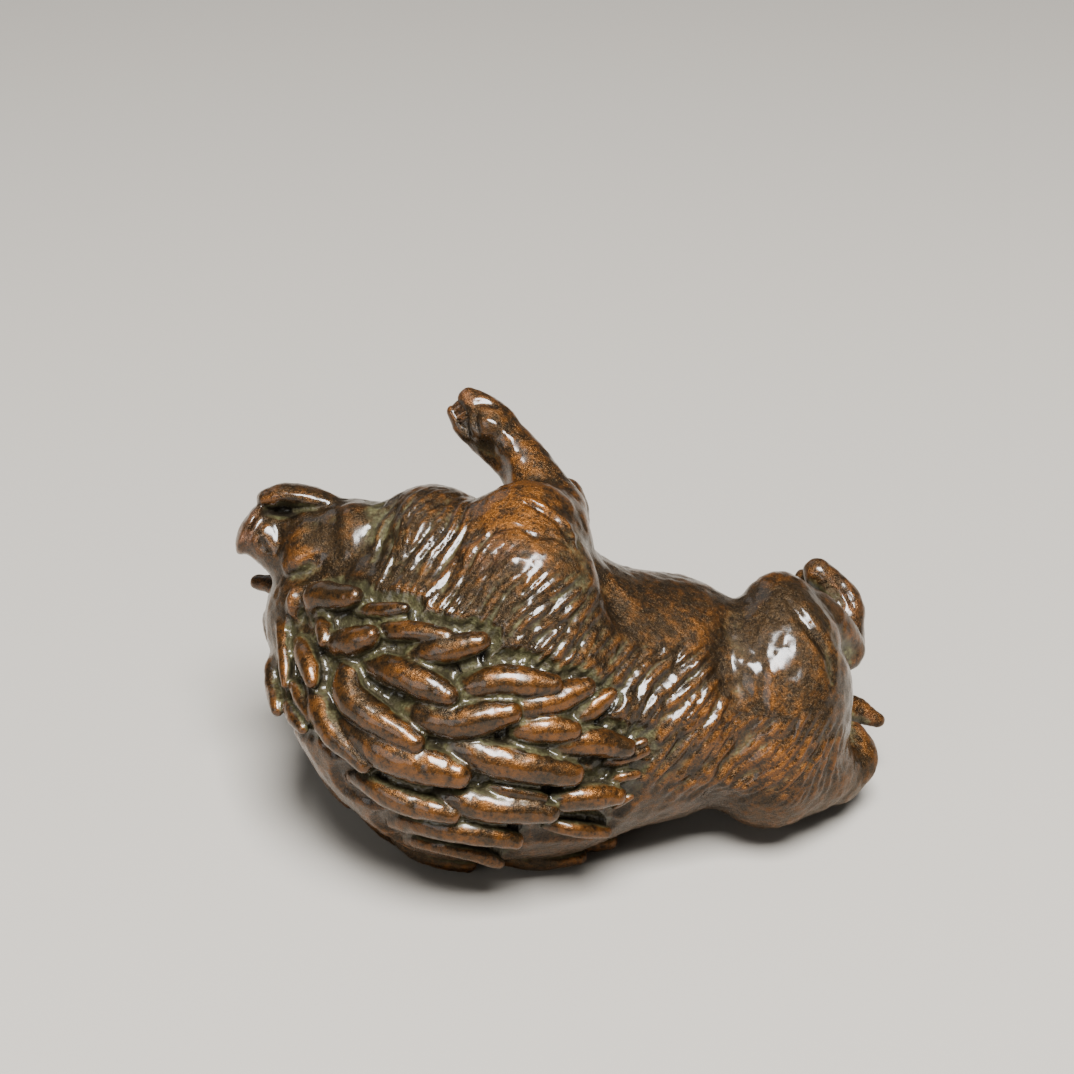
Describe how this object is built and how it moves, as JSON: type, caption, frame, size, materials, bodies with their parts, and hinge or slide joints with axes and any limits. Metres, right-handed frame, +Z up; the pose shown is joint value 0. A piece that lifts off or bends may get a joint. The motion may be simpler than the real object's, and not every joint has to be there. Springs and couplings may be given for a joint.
{
  "type": "tea pet",
  "caption": "Small cast-metal wild boar rolling on its back, a tea pet or desk ornament that rests on its withers and rump.",
  "frame": {"origin": "centre of the box around the figure, on the surface that it rests on", "axes": "+X from the snout to the rump along the body, +Y away from the flank that faces the viewer, +Z up"},
  "size_m": [0.08, 0.0466, 0.0513],
  "materials": {
    "bronze": "brown waxed patina, worn orange on what stands proud and grey-green in the hollows"
  },
  "bodies": {
    "root": {"boar": "bronze"}
  },
  "joints": []
}
